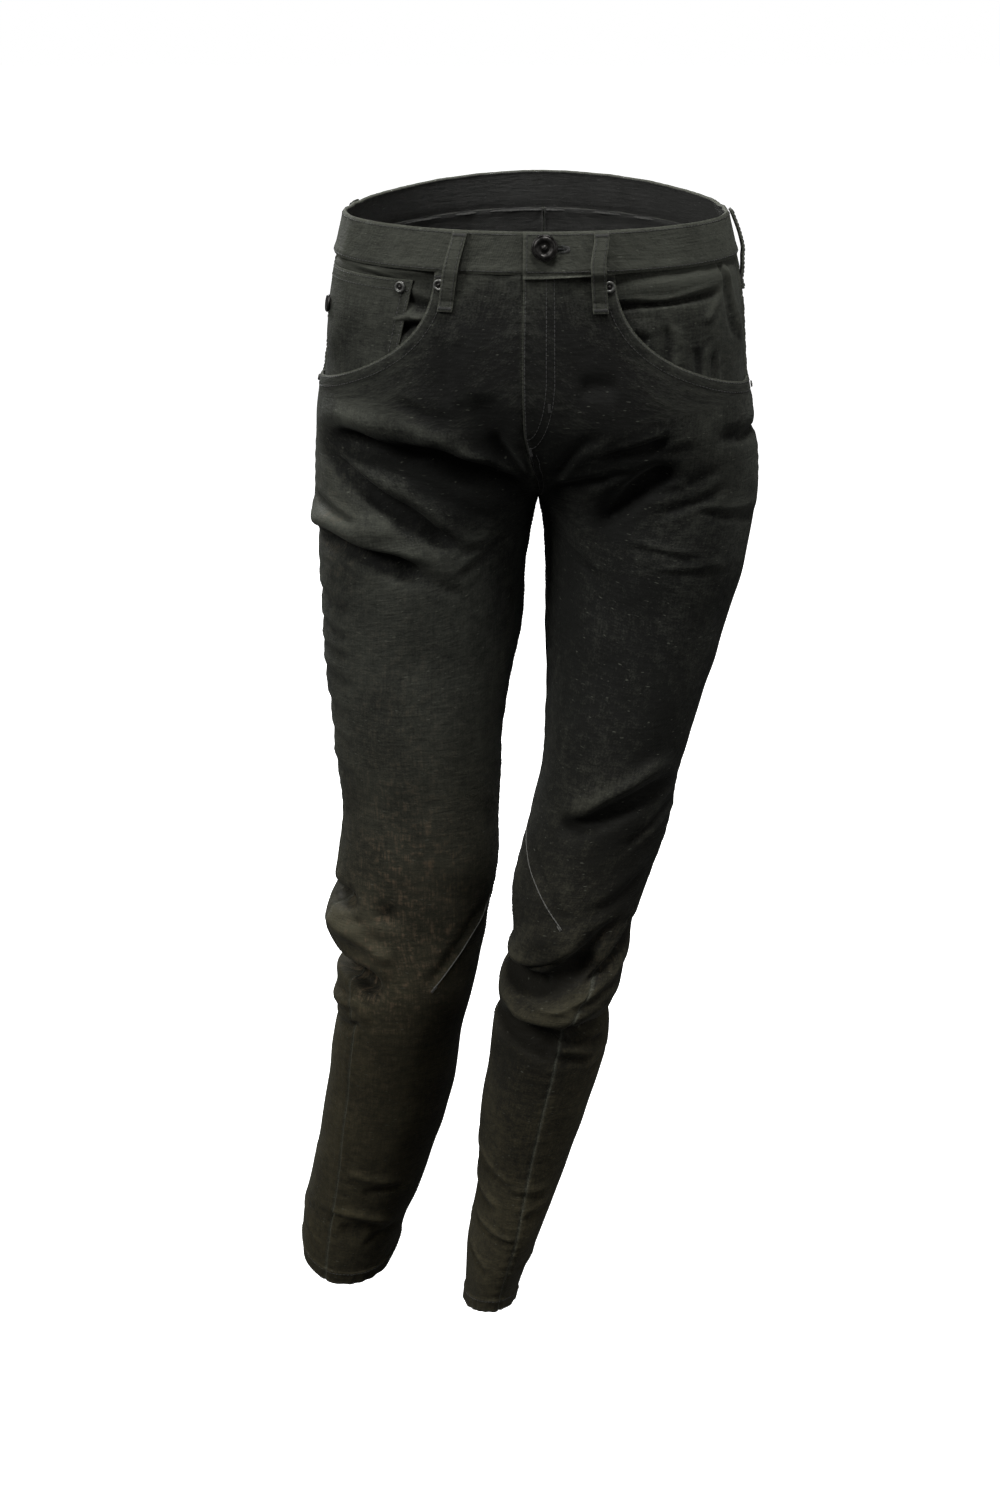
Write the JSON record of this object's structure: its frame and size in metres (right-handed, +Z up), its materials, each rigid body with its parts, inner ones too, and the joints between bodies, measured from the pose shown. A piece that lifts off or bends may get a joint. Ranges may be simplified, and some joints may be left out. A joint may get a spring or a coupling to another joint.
{
  "type": "boyfriend jeans",
  "caption": "Slim mid-rise boyfriend jeans in black denim, worn form with one leg forward, open at waist and hems, with scooped front pockets, belt loops and a metal button.",
  "frame": {"origin": "middle of the waist opening, level with the top of the waistband at the outseams", "axes": "+Z up the wearer's body, -Y the way the garment faces, +X towards the wearer's left"},
  "size_m": [0.3867, 0.2831, 0.9655],
  "materials": {
    "denim": "matt black denim with an olive cast",
    "dark_metal": "satin black",
    "grey_metal": "dull grey"
  },
  "bodies": {
    "root": {"waistband": "denim", "front_left": "denim", "front_right": "denim", "back_left": "denim", "back_right": "denim", "yoke_left": "denim", "yoke_right": "denim", "pocket_facing_left": "denim", "pocket_facing_right": "denim", "coin_pocket": "denim", "fly_placket": "denim", "back_pocket_left": "denim", "back_pocket_right": "denim", "belt_loop_front_left": "denim", "belt_loop_front_right": "denim", "belt_loop_side_left": "denim", "belt_loop_side_right": "denim", "belt_loop_back": "denim", "button": "dark_metal", "coin_stud": "dark_metal", "rivet_pocket_left": "grey_metal", "rivet_pocket_right": "grey_metal", "rivet_coin": "grey_metal", "rivet_side_left": "grey_metal", "rivet_side_right": "grey_metal"}
  },
  "joints": []
}
